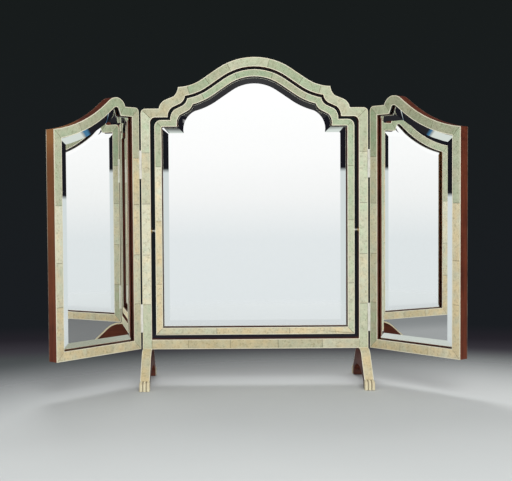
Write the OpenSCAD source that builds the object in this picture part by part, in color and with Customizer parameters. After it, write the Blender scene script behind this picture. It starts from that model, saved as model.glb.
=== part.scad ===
// A dressing-table mirror in three leaves. A fixed arched frame on two feet carries a
// tilting arched mirror, and a bevelled mirror wing is hinged to each side of it.
// Every frame is a mahogany core faced with shagreen tiles between lines of bone.
// Lengths are in millimetres. X runs to the right, Y to the back and Z up. The origin
// is on the table, under the middle of the whole object.

/* [Centre frame] */
// Width of the fixed centre frame
frame_w = 408; // [390:1:430]
// Height of the centre frame, from its feet to the crown of its arch
frame_h = 525; // [510:1:545]
// Height of the crown above the square shoulders
crown_rise = 91; // [88:0.5:96]
// Width of each square shoulder
shoulder_w = 32.5; // [28:0.5:36]
// Distance of the pointed tip from the side of the frame
tip_in = 67.5; // [64:0.5:72]
// Width of the centre frame's face
frame_face = 16.5; // [14:0.5:19]
// Depth of the centre frame and of the wings
frame_depth = 20; // [18:0.5:26]
// Radius of the outer corner of a shoulder
shoulder_r = 8; // [4:0.5:12]

/* [Swing mirror] */
// Width of the tilting frame's face
swing_face = 12.4; // [11:0.2:14]
// Gap at each side between the fixed frame and the tilting frame
swing_gap = 7.9; // [6:0.1:9]
// Gap over the arch between the fixed frame and the tilting frame
crown_gap = 5.3; // [4:0.1:7]
// Depth of the tilting frame
swing_depth = 18; // [16:0.5:20]
// Height of the tilting mirror's pivots above the foot of the frame
pivot_h = 215; // [190:1:240]
// Diameter of a pivot pin
pivot_d = 5; // [4:0.5:6]
// Diameter of the bush that holds a pivot pin
bush_d = 8; // [7.5:0.5:10]
// Running clearance of a pivot pin in its bush, on the radius
pivot_clear = 0.05; // [0.03:0.01:0.1]

/* [Wings] */
// Width of a wing
wing_w = 199; // [190:1:202]
// Height of a wing's square shoulder above the shoulder of the centre
wing_rise = 1.3; // [-3:0.1:4]
// Height of the rounded top of a wing above its shoulder
wing_top_rise = 15.3; // [13:0.1:19]
// Distance of the rounded top from the hinge side
wing_top_in = 54.5; // [50:0.5:58]
// Drop of a wing's outer side below its rounded top
wing_drop = 62; // [56:0.5:68]
// Width of a wing's face
wing_face = 16.5; // [14:0.5:18]
// Angle that each wing is folded forward from flat
wing_angle = 50; // [30:1:70]
// Clearance under a wing
wing_clear = 1; // [0.6:0.1:2]

/* [Facing] */
// Thickness of the shagreen and of the bone lines
skin_t = 1; // [0.8:0.1:1.4]
// Width of a bone line
line_w = 1.2; // [1:0.1:1.6]
// Width of the joint between two shagreen tiles
joint_w = 0.2; // [0.15:0.05:0.4]

/* [Glass and back] */
// Depth of the glass behind the face of its frame
lip_t = 4; // [3:0.5:5]
// Width of the lip in front of the glass
lip_w = 3; // [2.5:0.1:3.5]
// Thickness of the mirror glass
glass_t = 4; // [3:0.5:5]
// Width of the bevel that shows
bevel_w = 12.5; // [10:0.5:14]
// Depth of the bevel at the edge of the glass
bevel_t = 2.5; // [1.5:0.1:2.8]
// Clearance round the glass and round the back board
pocket_clear = 0.4; // [0.2:0.1:0.6]
// Thickness of the back board
board_t = 3; // [2.5:0.5:4]
// Width of the step in the frame that the back board lies in
board_w = 7; // [6.5:0.1:7.4]
// Diameter of a back board screw
back_screw_d = 1.6; // [1.2:0.1:1.8]

/* [Hinges] */
// Height of a butt hinge
hinge_h = 51; // [40:1:60]
// Height of the lower hinge above the foot of the frame
hinge_low = 31; // [25:1:40]
// Distance of the upper hinge below the shoulders
hinge_down = 75; // [60:1:100]
// Radius of a hinge knuckle
knuckle_r = 2.2; // [2:0.1:2.6]
// Distance of the hinge pin in front of the faces
hinge_proud = 1.6; // [1.4:0.1:1.8]
// Diameter of a hinge pin
hinge_pin_d = 2; // [1.6:0.1:2.4]
// Half of the gap between a wing and the centre frame
hinge_gap = 1.2; // [1:0.1:1.5]
// Width of a hinge leaf, from the faces to its back edge
leaf_w = 14; // [12:0.5:16]
// Diameter of a hinge screw
hinge_screw_d = 2; // [1.6:0.1:2.2]

/* [Feet] */
// Height of the feet
foot_h = 62; // [56:1:70]
// Length of a foot from front to back
foot_l = 188; // [170:2:200]
// Height of the arch under a foot
foot_arch_h = 30; // [24:1:36]
// Height of a toe
toe_h = 14; // [11:0.5:16]
// Length of a toe
toe_l = 14; // [11:0.5:16]
// Width of a toe
toe_w = 18; // [16.5:0.5:20]
// Diameter of the screw that holds a foot
foot_screw_d = 4; // [3:0.5:5]

/* [Hidden] */
$fn = 32;

mahogany = [0.36, 0.13, 0.07];
shagreen = [0.78, 0.80, 0.64];
bone = [0.93, 0.90, 0.80];
silver = [0.82, 0.84, 0.86];
nickel = [0.78, 0.78, 0.74];
brass = [0.78, 0.62, 0.32];
board_brown = [0.45, 0.28, 0.17];

// Where each outline of the centre lies: its distance in from the side of the frame, and
// its distance in from the arch
half_w = frame_w / 2;
shoulder_h = frame_h - crown_rise;
opening_in = [frame_face, frame_face];
swing_in = opening_in + [swing_gap, crown_gap];
sight_in = swing_in + [swing_face, swing_face];
glass_in = sight_in - (lip_w - pocket_clear) * [1, 1];
bevel_in = sight_in + bevel_w * [1, 1];
opening_r = shoulder_r + 1;
swing_r = shoulder_r + 3.5;
sight_r = 2;

// Arch of the centre: its first radius, its straight, the radius of its hollow and the
// angle at which it falls
arch_r = 118;
arch_l = 32;
arch_hollow_r = 80.5;
arch_steep = 34.4;
arch_centre = [0, frame_h - arch_r];
arch_hollow_centre = arch_centre + (arch_r + arch_hollow_r) * [sin(arch_steep), cos(arch_steep)]
  + arch_l * [cos(arch_steep), -sin(arch_steep)];

// Sizes of the step between a shoulder and the arch: its round and its hollow
round_size = [10.5, 15];
hollow_size = [8, 16.5];
round_bow = 0.12;
hollow_bow = -0.1;
// How far the key points move for each millimetre that an outline steps in from the
// arch: the tip, the end of the hollow, the start of the round and the step
tip_share = 0.76;
bevel_tip_share = 0.64;
hollow_share = [0.74, 0.75];
round_share = [0.79, 0.78];
step_share = [0.95, 0.94];
// How far the bottom moves up for each millimetre that an outline steps in at the sides
bottom_share = 1.05;
bevel_bow = 0.17;

// Wing outline: the start of its step, and the first radius, angle and straight of its slope
wing_shoulder_h = shoulder_h + wing_rise;
wing_top_h = wing_shoulder_h + wing_top_rise;
wing_outer_h = wing_top_h - wing_drop;
wing_step_in = 33.5;
slope_r = 27;
slope_steep = 38;
slope_l = 11.4;

// Place of the swing mirror and of its pivots in the depth of the frame
swing_y = (frame_depth - swing_depth) / 2;
pivot_y = frame_depth / 2;

// Heights of the two hinges, and the hinge axis beside the centre frame
hinge_high = shoulder_h - hinge_down - hinge_h;
axis_x = half_w + hinge_gap;
axis_y = -hinge_proud;
knuckle_gap = 0.3;
knuckle_clear = 0.3;
pin_run = 0.05;

// Heights at which the crest rails meet their stiles
crest_cut = shoulder_h - frame_face - opening_r - 2;
swing_cut = shoulder_h - sight_in.x - 4;
wing_cut = wing_shoulder_h - wing_face - 4;
wing_outer_cut = wing_outer_h - 1.2 * wing_face - 4;

// Middle of the foot, the foot's skin, and the middle of the whole object in Y
foot_mid = frame_depth / 2;
foot_half = foot_l / 2;
foot_x = half_w - frame_face / 2;
foot_flat = frame_depth / 2 + 5.5;
foot_turn = 43;
foot_r = 38;
foot_tread = 24;
front_y = axis_y + hinge_proud * cos(wing_angle) - (wing_w + hinge_gap) * sin(wing_angle);
back_y = foot_mid + foot_half;
mid_y = (front_y + back_y) / 2;

// Points of an arc from p, heading h degrees, of radius r, that turns t degrees to the left
function arc(p, h, r, t, n) =
  [for (i = [1:n]) p + sign(t) * r * [sin(h + t * i / n) - sin(h), cos(h) - cos(h + t * i / n)]];

// Points of an arc from p to q that bows out by b times its chord, to the left if positive
function bow(p, q, b, n) =
  let(turn = -4 * atan(2 * b), chord = norm(q - p), h = atan2(q.y - p.y, q.x - p.x) - turn / 2)
  arc(p, h, chord / (2 * sin(abs(turn) / 2)), turn, n);

// Points of an arc from p to q that is level when it reaches q
function rise(p, q, n) =
  let(h = atan2(q.y - p.y, q.x - p.x), chord = norm(q - p))
  arc(p, 2 * h, chord / (2 * sin(h)), -2 * h, n);

// Points of the arch that lies the distance in below its outline, from the crown to x
function arch_line(in, x) =
  let(
    end = asin((arch_hollow_centre.x - x) / (arch_hollow_r + in)))
  concat(
    [for (a = [0:arch_steep / 6:arch_steep + 1]) arch_centre + (arch_r - in) * [sin(a), cos(a)]],
    [for (i = [0:7]) let(a = arch_steep + (end - arch_steep) * i / 7)
      arch_hollow_centre - (arch_hollow_r + in) * [sin(a), cos(a)]]);

// Key points of an outline of the centre: the end of its hollow, the start of its round,
// its step, the corner of its shoulder and its bottom corner
function arch_keys(in) =
  let(
    line = arch_line(0, half_w - tip_in),
    step = [half_w - shoulder_w, shoulder_h],
    hollow = line[len(line) - 1] + [hollow_size.x, -hollow_size.y],
    rounded = step + [-round_size.x, round_size.y],
    low = step - in.y * step_share)
  [hollow - in.y * hollow_share, rounded - in.y * round_share, low,
   [half_w - in.x, low.y], [half_w - in.x, in.x * bottom_share]];

// Lower end of an outline's right half: its shoulder, corner and bottom
function arch_side(k, r) =
  concat([k[3] - [r, 0]], arc(k[3] - [r, 0], 0, r, -90, 4), [k[4]]);

// Right half of an outline of the centre, from its crown down to its bottom corner
function arch_half(in, r) =
  let(
    k = arch_keys(in),
    line = arch_line(in.y, half_w - tip_in - tip_share * in.y),
    tip = line[len(line) - 1])
  concat(
    line,
    bow(tip, k[0], hollow_bow, 3),
    [k[1]],
    bow(k[1], k[2], round_bow, 4),
    arch_side(k, r));

// The same for the inner edge of the bevel, which cuts across the hollow in one round
function bevel_half(in, r) =
  let(
    k = arch_keys(in),
    line = arch_line(in.y, half_w - tip_in - bevel_tip_share * in.y),
    tip = line[len(line) - 1])
  concat(line, bow(tip, k[2], bevel_bow, 8), arch_side(k, r));

// Whole outline, from the middle of its bottom round to the left, up and over
function whole(half) =
  let(n = len(half))
  concat(
    [[0, half[n - 1].y]],
    [for (i = [n - 1:-1:1]) [-half[i].x, half[i].y]],
    half);

// Slope of a wing: it turns down over its first radius, runs straight, and levels out in one
// hollow, whose radius and end follow from the width of the wing and the drop
slope_from = [wing_top_in, wing_top_h - slope_r]
  + slope_r * [sin(slope_steep), cos(slope_steep)]
  + slope_l * [cos(slope_steep), -sin(slope_steep)];
slope_tail = 2 * atan2(slope_from.y - wing_outer_h, wing_w - slope_from.x) - slope_steep;
slope_r2 = (wing_w - slope_from.x) / (sin(slope_steep) - sin(slope_tail));
slope_centre = slope_from + slope_r2 * [sin(slope_steep), cos(slope_steep)];

// Hollow of the slope, stepped in, between two angles
function slope(in, from, to, n) =
  [for (i = [0:n]) let(a = from + (to - from) * i / n)
    slope_centre - (slope_r2 + in) * [sin(a), cos(a)]];

// Angle of the hollow where a stepped-in slope reaches the distance u from the hinge side
function slope_at(in, u) = asin((slope_centre.x - u) / (slope_r2 + in));

// Outline of a wing from its lower hinge corner, up and over to its lower outer corner
function wing_outline() =
  let(
    step = [wing_step_in, wing_shoulder_h],
    top = [wing_top_in, wing_top_h],
    corner = [0, wing_shoulder_h - shoulder_r])
  concat(
    [[0, wing_clear], corner],
    arc(corner, 90, shoulder_r, -90, 4),
    [step],
    rise(step, top, 6),
    arc(top, 0, slope_r, -slope_steep, 4),
    slope(0, slope_steep, slope_at(0, wing_w), 8),
    [[wing_w, wing_clear]]);

// Edge of a wing's glass, and the inner edge of its bevel, with a point for each point
glass_wing_in = wing_face - lip_w + pocket_clear;
bevel_wing_in = wing_face + bevel_w;
notch_n = 5;
slope_n = 10;
function wing_glass_edge(in) =
  let(
    shoulder_z = wing_shoulder_h - in,
    notch = [wing_top_in - slope_r * 0.2, shoulder_z],
    crown = [wing_top_in + 1.5, wing_top_h - in],
    side = [crown.x + 7.5, crown.y - 3])
  concat(
    [[in, wing_clear + in], [in, shoulder_z], notch],
    rise(notch, crown, notch_n - 1),
    [side],
    slope(in, slope_at(in, side.x + 9), slope_at(in, wing_w - in), slope_n),
    [[wing_w - in, wing_clear + in]]);
function wing_bevel_edge(in) =
  let(
    shoulder_z = wing_shoulder_h - in,
    join_a = acos((slope_centre.y - shoulder_z) / (slope_r2 + in)),
    join = slope_centre - (slope_r2 + in) * [sin(join_a), cos(join_a)])
  concat(
    [[in, wing_clear + in], [in, shoulder_z]],
    [for (i = [0:notch_n]) join],
    slope(in, join_a, slope_at(in, wing_w - in), slope_n),
    [[wing_w - in, wing_clear + in]]);

// Half of a foot's top line, stepped in by t, from the frame's face to the toe
function foot_top(t) =
  let(
    start = [foot_flat, foot_h - t],
    shoulder = arc(start, 0, foot_r - t, -foot_turn, 5),
    lift = t * [sin(foot_turn), cos(foot_turn)],
    end = [foot_half - toe_l, toe_h] + [0, 2] - lift)
  concat([[frame_depth / 2, foot_h - t], start], shoulder, [end]);

// Flat shape in the X-Z plane made solid from y0 back to y1
module upright(y0, y1) {
  translate([0, y1, 0]) rotate([90, 0, 0]) linear_extrude(y1 - y0) children();
}

// Flat shape in the Y-Z plane made solid from x0 to x1
module sideways(x0, x1) {
  translate([x0, 0, 0]) rotate([90, 0, 90]) linear_extrude(x1 - x0) children();
}

// Places what stands on the feet
module placed() {
  translate([0, -mid_y, foot_h]) children();
}

// Places a wing on the right, folded forward about its hinge, or its mirror image on the left
module on_wing(side) {
  placed() mirror([side < 0 ? 1 : 0, 0, 0]) translate([axis_x, axis_y, 0])
    rotate([0, 0, -wing_angle]) translate([hinge_gap, hinge_proud, 0]) children();
}

module both_sides() {
  children();
  mirror([1, 0, 0]) children();
}

// Arched outlines of the centre
module frame_shape() polygon(whole(arch_half([0, 0], shoulder_r)));
module opening_shape() polygon(whole(arch_half(opening_in, opening_r)));
module swing_shape() polygon(whole(arch_half(swing_in, swing_r)));
module sight_shape() polygon(whole(arch_half(sight_in, sight_r)));

// Outlines of a wing
module wing_shape() polygon(wing_outline());
module wing_sight() offset(delta = -wing_face) wing_shape();

// Wooden core between an outline, the first child, and an opening, the second, with a
// groove for the bone line round its back edge
module plain_core(depth) {
  upright(skin_t, depth - skin_t) difference() {
    children(0);
    children(1);
  }
  upright(depth - skin_t, depth) difference() {
    offset(delta = -line_w) children(0);
    children(1);
  }
}

// Wooden core of a mirror frame, also stepped behind its opening for glass and back board
module stepped_core(depth) {
  upright(skin_t, lip_t) difference() {
    children(0);
    children(1);
  }
  upright(lip_t, depth - board_t) difference() {
    children(0);
    offset(delta = lip_w) children(1);
  }
  upright(depth - board_t, depth - skin_t) difference() {
    children(0);
    offset(delta = board_w) children(1);
  }
  upright(depth - skin_t, depth) difference() {
    offset(delta = -line_w) children(0);
    offset(delta = board_w) children(1);
  }
}

// Bone line along the inside of an outline, in the face and round the back edge
module outer_line(depth) {
  for (y = [0, depth - skin_t]) upright(y, y + skin_t) difference() {
    children();
    offset(delta = -line_w) children();
  }
}

// Bone line round an opening, in the face
module inner_line() {
  upright(0, skin_t) difference() {
    offset(delta = line_w) children();
    children();
  }
}

// Shagreen between the bone lines of an outline and an opening, cut into tiles by the rest
module tiles() {
  upright(0, skin_t) difference() {
    offset(delta = -line_w) children(0);
    offset(delta = line_w) children(1);
    children(2);
  }
}

// A joint across a band, at a place and angle
module joint(p, angle, length) {
  translate(p) rotate(angle) square([length, joint_w], center = true);
}

// Joints across a curved band at distances along X
module curved_joints(xs, path, length) {
  for (x = xs) {
    run = 2;
    z = lookup(x, path);
    fall = (lookup(x + run, path) - lookup(x - run, path)) / (2 * run);
    joint([x, z], atan(fall) + 90, length);
  }
}

// Glass with a bevelled edge, between its outer edge and the inner edge of its bevel
module bevelled_glass(edge, bevel) {
  n = len(edge);
  same = [for (i = [0:n - 1]) i > 0 && norm(bevel[i] - bevel[i - 1]) < 0.001];
  own = [for (i = [0:n - 1]) max([for (j = [0:i]) same[j] ? 0 : j])];
  points = concat(
    [for (p = edge) [p.x, lip_t + bevel_t, p.y]],
    [for (p = bevel) [p.x, lip_t, p.y]],
    [for (p = edge) [p.x, lip_t + glass_t, p.y]]);
  front = [for (i = [0:n - 1]) if (!same[i]) n + i];
  slopes = [for (i = [0:n - 1]) let(j = (i + 1) % n)
    own[i] == own[j] ? [i, j, n + own[i]] : [i, j, n + own[j], n + own[i]]];
  rim = [for (i = [0:n - 1]) let(j = (i + 1) % n) [j, i, 2 * n + i, 2 * n + j]];
  back = [for (i = [0:n - 1]) 2 * n + (n - i) % n];
  polyhedron(points, concat([front], slopes, rim, [back]));
}

// Round-headed screw along +Z, its head below the origin
module round_screw(d, l, head_d, head_h) {
  translate([0, 0, -head_h]) cylinder(d = head_d, h = head_h);
  cylinder(d = d, h = l);
}

// Places of the back board screws of a frame: down each side, and along top and bottom
back_screw_in = (lip_w + board_w) / 2;
back_screw_head = 2.8;
back_screw_l = 7;
module back_screw_holes(places, depth) {
  for (p = places) translate([p.x, depth + 1, p.y]) rotate([90, 0, 0])
    cylinder(d = back_screw_d, h = board_t + back_screw_l);
}
module back_screws(places, depth) {
  for (p = places) translate([p.x, depth, p.y]) rotate([90, 0, 0])
    round_screw(back_screw_d, board_t + back_screw_l - 1, back_screw_head, 0.8);
}

swing_foot = arch_keys(swing_in)[4].y;
swing_bottom = arch_keys(sight_in)[4].y;
swing_screw_x = half_w - sight_in.x + back_screw_in;
swing_screw_zs = [for (t = [0.1, 0.38, 0.62, 0.9]) swing_bottom + t * (swing_cut - swing_bottom)];
swing_screw_places = concat(
  [for (s = [-1, 1], z = swing_screw_zs) [s * swing_screw_x, z]],
  [for (t = [-0.55, 0, 0.55]) [t * swing_screw_x, swing_bottom - back_screw_in]],
  [[0, frame_h - sight_in.y + back_screw_in]]);

wing_screw_us = [wing_face - back_screw_in, wing_w - wing_face + back_screw_in];
wing_screw_zs = [for (t = [0.16, 0.55, 0.9]) t * wing_outer_cut];
wing_screw_places = concat(
  [for (u = wing_screw_us, z = wing_screw_zs) [u, z]],
  [[wing_w / 2, wing_clear + wing_face - back_screw_in]]);

// Small wooden blocks that hold the glass to the front, between it and the back board
block_l = 24;
block_w = 5;
module glazing_blocks(places, depth) {
  for (p = places) translate([p[0].x, lip_t + glass_t, p[0].y]) rotate([0, -p[1], 0])
    translate([-block_l / 2, 0, 0]) cube([block_l, depth - board_t - lip_t - glass_t, block_w]);
}

// Centre frame, in its own place: the origin is the middle of its bottom edge, at its face
module frame_core() {
  plain_core(frame_depth) {
    frame_shape();
    opening_shape();
  }
}

module hinge_zs() {
  for (z = [hinge_low, hinge_high]) translate([0, 0, z]) children();
}

// Room for a hinge beside a face at x = 0 that lies on its right, from the hinge's bottom
module hinge_room() {
  translate([0, -1, 0]) cube([line_w, leaf_w + 1, hinge_h]);
  translate([-hinge_gap, -hinge_proud, 0]) cylinder(r = knuckle_r + knuckle_clear, h = hinge_h);
}

// A hinge leaf on a face at x = 0, with the knuckles of the given thirds of its height
module hinge_leaf(thirds, bore_d) {
  third = hinge_h / 3;
  others = [for (i = [0:2]) if (len(search(i, thirds)) == 0) i];
  difference() {
    union() {
      difference() {
        translate([0, -hinge_proud, 0]) cube([line_w, leaf_w + hinge_proud, hinge_h]);
        for (i = others) translate([-hinge_gap, -hinge_proud, i * third - knuckle_gap / 2])
          cylinder(r = knuckle_r + knuckle_clear, h = third + knuckle_gap);
      }
      for (i = thirds) translate([-hinge_gap, -hinge_proud, i * third + knuckle_gap / 2])
        cylinder(r = knuckle_r, h = third - knuckle_gap);
    }
    translate([-hinge_gap, -hinge_proud, -1]) cylinder(d = bore_d, h = hinge_h + 2);
    hinge_screw_places() rotate([0, 90, 0]) translate([0, 0, -1])
      cylinder(d = hinge_screw_d + 0.2, h = line_w + 2);
  }
}

// Places of the two screws of a hinge leaf
module hinge_screw_places() {
  for (z = [0.22, 0.78]) translate([0, leaf_w * 0.62, z * hinge_h]) children();
}

hinge_screw_l = 10;
hinge_screw_head = 3.6;
module hinge_screw_set() {
  hinge_zs() hinge_screw_places() rotate([0, 90, 0])
    round_screw(hinge_screw_d, hinge_screw_l, hinge_screw_head, 0.6);
}
module hinge_screw_bores() {
  hinge_zs() hinge_screw_places() rotate([0, 90, 0]) cylinder(d = hinge_screw_d, h = hinge_screw_l + 1);
}

// Room for the hinges of one side in the centre frame, which is drawn on the right
module frame_hinge_room() {
  translate([half_w, 0, 0]) mirror([1, 0, 0]) hinge_zs() hinge_room();
}

// Stile of the centre frame, drawn on the right
bush_l = 12;
flange_t = 1.6;
flange_d = bush_d + 3;
foot_screw_up = 25;
module frame_stile() {
  difference() {
    intersection() {
      frame_core();
      translate([half_w - frame_face, 0, 0]) cube([frame_face, frame_depth, crest_cut]);
    }
    frame_hinge_room();
    translate([half_w, 0, 0]) mirror([1, 0, 0]) hinge_screw_bores();
    translate([half_w - frame_face - 1, pivot_y, pivot_h]) rotate([0, 90, 0])
      cylinder(d = bush_d, h = bush_l + 1);
    translate([foot_x, foot_mid, -1]) cylinder(d = foot_screw_d, h = foot_screw_up + 1);
  }
}

module frame_left_stile() {
  color(mahogany) placed() mirror([1, 0, 0]) frame_stile();
}

module frame_right_stile() {
  color(mahogany) placed() frame_stile();
}

module frame_bottom_rail() {
  color(mahogany) placed() intersection() {
    frame_core();
    translate([frame_face - half_w, 0, 0]) cube([frame_w - 2 * frame_face, frame_depth, 2 * frame_face]);
  }
}

module frame_crest_rail() {
  color(mahogany) placed() intersection() {
    frame_core();
    translate([-half_w, 0, crest_cut]) cube([frame_w, frame_depth, frame_h]);
  }
}

// Joints between the tiles of the centre frame
stile_joints = [0.187, 0.394, 0.606, 0.818] * shoulder_h;
rail_joints = [-0.598, -0.225, 0.201, 0.593] * half_w;
crest_joints_left = [0.221, 0.412, 0.578] * half_w;
crest_joints_right = [0.127, 0.412, 0.578] * half_w;
module frame_joints() {
  middle = arch_line(frame_face / 2, half_w);
  length = frame_face + 3;
  both_sides() {
    for (z = stile_joints) joint([half_w - frame_face / 2, z], 0, length);
    joint([half_w - frame_face, frame_face / 2], 90, length);
    joint([half_w - frame_face / 2, shoulder_h - frame_face / 2], 45, 2 * length);
  }
  for (x = rail_joints) joint([x, frame_face / 2], 90, length);
  curved_joints(crest_joints_right, middle, length);
  mirror([1, 0, 0]) curved_joints(crest_joints_left, middle, length);
}

module frame_shagreen() {
  color(shagreen) placed() difference() {
    tiles() {
      frame_shape();
      opening_shape();
      frame_joints();
    }
    both_sides() frame_hinge_room();
  }
}

module frame_outer_stringing() {
  color(bone) placed() difference() {
    outer_line(frame_depth) frame_shape();
    both_sides() frame_hinge_room();
  }
}

module frame_inner_stringing() {
  color(bone) placed() inner_line() opening_shape();
}

// Feet, drawn on the right, with Y from the middle of the frame's depth
module foot_place(side) {
  translate([side * foot_x, foot_mid - mid_y, 0]) children();
}

module foot_core() {
  top = foot_top(skin_t);
  n = len(top);
  arch_half_l = foot_half - foot_tread;
  under = [for (a = [0:10:180]) [arch_half_l * cos(a), foot_arch_h * sin(a)]];
  side = concat(
    [[frame_depth / 2, foot_h]],
    top,
    [[foot_half - toe_l, 0]]);
  outline = concat(
    [for (i = [len(side) - 1:-1:0]) [-side[i].x, side[i].y]],
    side,
    under);
  difference() {
    sideways(-frame_face / 2, frame_face / 2) polygon(outline);
    translate([0, 0, foot_arch_h - 1]) cylinder(d = foot_screw_d, h = foot_h);
    translate([0, 0, foot_arch_h - 1]) cylinder(d = 2 * foot_screw_d, h = 1 + foot_screw_head);
  }
}

module left_foot() {
  color(mahogany) foot_place(-1) foot_core();
}

module right_foot() {
  color(mahogany) foot_place(1) foot_core();
}

// Facing of a foot between two distances from its middle plane, over its front and back
module foot_skin(x0, x1) {
  outer = foot_top(0);
  inner = foot_top(skin_t);
  n = len(outer);
  for (s = [-1, 1]) sideways(x0, x1) polygon(concat(
    [for (p = outer) [s * p.x, p.y]],
    [for (i = [n - 1:-1:0]) [s * inner[i].x, inner[i].y]]));
}

module foot_shagreen() {
  color(shagreen) for (side = [-1, 1]) foot_place(side)
    foot_skin(line_w - frame_face / 2, frame_face / 2 - line_w);
}

module foot_stringing() {
  color(bone) for (side = [-1, 1]) foot_place(side) {
    foot_skin(-frame_face / 2, line_w - frame_face / 2);
    foot_skin(frame_face / 2 - line_w, frame_face / 2);
  }
}

// A toe: a bone block with three upright reeds
module toe() {
  reed_r = toe_w / 6;
  translate([-toe_w / 2, 0, 0]) cube([toe_w, toe_l - reed_r, toe_h]);
  for (i = [-1:1]) translate([2 * i * reed_r, toe_l - reed_r, 0]) cylinder(r = reed_r, h = toe_h);
}

module foot_toes() {
  color(bone) for (side = [-1, 1], way = [-1, 1]) foot_place(side) mirror([0, way < 0 ? 1 : 0, 0])
    translate([0, foot_half - toe_l, 0]) toe();
}

foot_screw_head = 3;
module foot_screws() {
  color(brass) for (side = [-1, 1]) foot_place(side) translate([0, 0, foot_arch_h + foot_screw_head])
    round_screw(foot_screw_d, foot_h - foot_arch_h - foot_screw_head + foot_screw_up - 1,
      2 * foot_screw_d - 0.4, foot_screw_head - 0.4);
}

// Pivots, drawn on the right
module pivot_bushes() {
  bore_d = pivot_d + 2 * pivot_clear;
  color(brass) placed() both_sides() translate([half_w - frame_face, pivot_y, pivot_h]) rotate([0, 90, 0])
    difference() {
      union() {
        cylinder(d = bush_d, h = bush_l);
        translate([0, 0, -flange_t]) cylinder(d = flange_d, h = flange_t);
      }
      translate([0, 0, -flange_t - 1]) cylinder(d = bore_d, h = bush_l + flange_t + 2);
    }
}

collar_t = 2;
collar_d = pivot_d + 4;
pin_seat = swing_face - lip_w - 1.4;
pin_reach = bush_l - 1;
module pivot_pins() {
  pin_l = pin_seat + swing_gap + pin_reach;
  color(nickel) placed() both_sides() translate([half_w - swing_in.x, pivot_y, pivot_h]) rotate([0, 90, 0]) {
    translate([0, 0, -pin_seat]) cylinder(d = pivot_d, h = pin_l);
    cylinder(d = collar_d, h = collar_t);
  }
}

// Hinges
module frame_hinge_leaves() {
  color(silver) placed() both_sides() translate([half_w, 0, 0]) mirror([1, 0, 0]) hinge_zs()
    hinge_leaf([0, 2], hinge_pin_d);
}

module hinge_pins() {
  color(silver) placed() both_sides() translate([axis_x, axis_y, 0]) hinge_zs()
    cylinder(d = hinge_pin_d, h = hinge_h);
}

module frame_hinge_screws() {
  color(silver) placed() both_sides() translate([half_w, 0, 0]) mirror([1, 0, 0]) hinge_screw_set();
}

// Swing mirror
module swing_placed() {
  placed() translate([0, swing_y, 0]) children();
}

module swing_core() {
  stepped_core(swing_depth) {
    swing_shape();
    sight_shape();
  }
}

module swing_stile() {
  difference() {
    intersection() {
      swing_core();
      translate([half_w - sight_in.x, 0, swing_foot])
        cube([swing_face, swing_depth, swing_cut - swing_foot]);
    }
    translate([half_w - swing_in.x - pin_seat, pivot_y - swing_y, pivot_h]) rotate([0, 90, 0])
      cylinder(d = pivot_d, h = pin_seat + 1);
    back_screw_holes(swing_screw_places, swing_depth);
  }
}

module swing_left_stile() {
  color(mahogany) swing_placed() mirror([1, 0, 0]) swing_stile();
}

module swing_right_stile() {
  color(mahogany) swing_placed() swing_stile();
}

module swing_bottom_rail() {
  color(mahogany) swing_placed() difference() {
    intersection() {
      swing_core();
      translate([sight_in.x - half_w, 0, swing_foot])
        cube([frame_w - 2 * sight_in.x, swing_depth, 2 * swing_face]);
    }
    back_screw_holes(swing_screw_places, swing_depth);
  }
}

module swing_crest_rail() {
  color(mahogany) swing_placed() difference() {
    intersection() {
      swing_core();
      translate([-half_w, 0, swing_cut]) cube([frame_w, swing_depth, frame_h]);
    }
    back_screw_holes(swing_screw_places, swing_depth);
  }
}

swing_stile_joints = [0.272, 0.535, 0.76] * shoulder_h;
swing_rail_joints = [-0.343, 0.304] * half_w;
swing_crest_joints = [0.157, 0.451] * half_w;
module swing_joints() {
  middle = arch_line((swing_in.y + sight_in.y) / 2, half_w - tip_in);
  length = swing_face + 3;
  band = half_w - (swing_in.x + sight_in.x) / 2;
  rail = (swing_foot + swing_bottom) / 2;
  both_sides() {
    for (z = swing_stile_joints) joint([band, z], 0, length);
    joint([band, rail], -45, 2 * length);
    joint([band, (arch_keys(swing_in)[3].y + arch_keys(sight_in)[3].y) / 2], 45, 2 * length);
    curved_joints(swing_crest_joints, middle, length);
  }
  for (x = swing_rail_joints) joint([x, rail], 90, length);
}

module swing_shagreen() {
  color(shagreen) swing_placed() tiles() {
    swing_shape();
    sight_shape();
    swing_joints();
  }
}

module swing_outer_stringing() {
  color(bone) swing_placed() outer_line(swing_depth) swing_shape();
}

module swing_inner_stringing() {
  color(bone) swing_placed() inner_line() sight_shape();
}

module swing_glass() {
  edge = whole(arch_half(glass_in, sight_r + lip_w));
  bevel = whole(bevel_half(bevel_in, sight_r));
  color(silver) swing_placed() bevelled_glass(edge, bevel);
}

block_gap = 1;
swing_block_x = half_w - sight_in.x - block_gap;
swing_block_places = concat(
  [for (t = [-0.65, 0.65]) [[t * swing_block_x, swing_bottom + block_gap], 0]],
  [for (t = [0.3, 0.76], s = [-1, 1]) [[s * swing_block_x, t * swing_cut], s * 90]]);
module swing_glazing_blocks() {
  color(board_brown) swing_placed() glazing_blocks(swing_block_places, swing_depth);
}

module swing_backboard() {
  color(board_brown) swing_placed() difference() {
    upright(swing_depth - board_t, swing_depth) offset(delta = board_w - pocket_clear) sight_shape();
    back_screw_holes(swing_screw_places, swing_depth);
  }
}

module swing_back_screws() {
  color(brass) swing_placed() back_screws(swing_screw_places, swing_depth);
}

// Wings, drawn as the right one: X runs from the hinge side to the outer side
module wing_core() {
  stepped_core(frame_depth) {
    wing_shape();
    wing_sight();
  }
}

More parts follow.
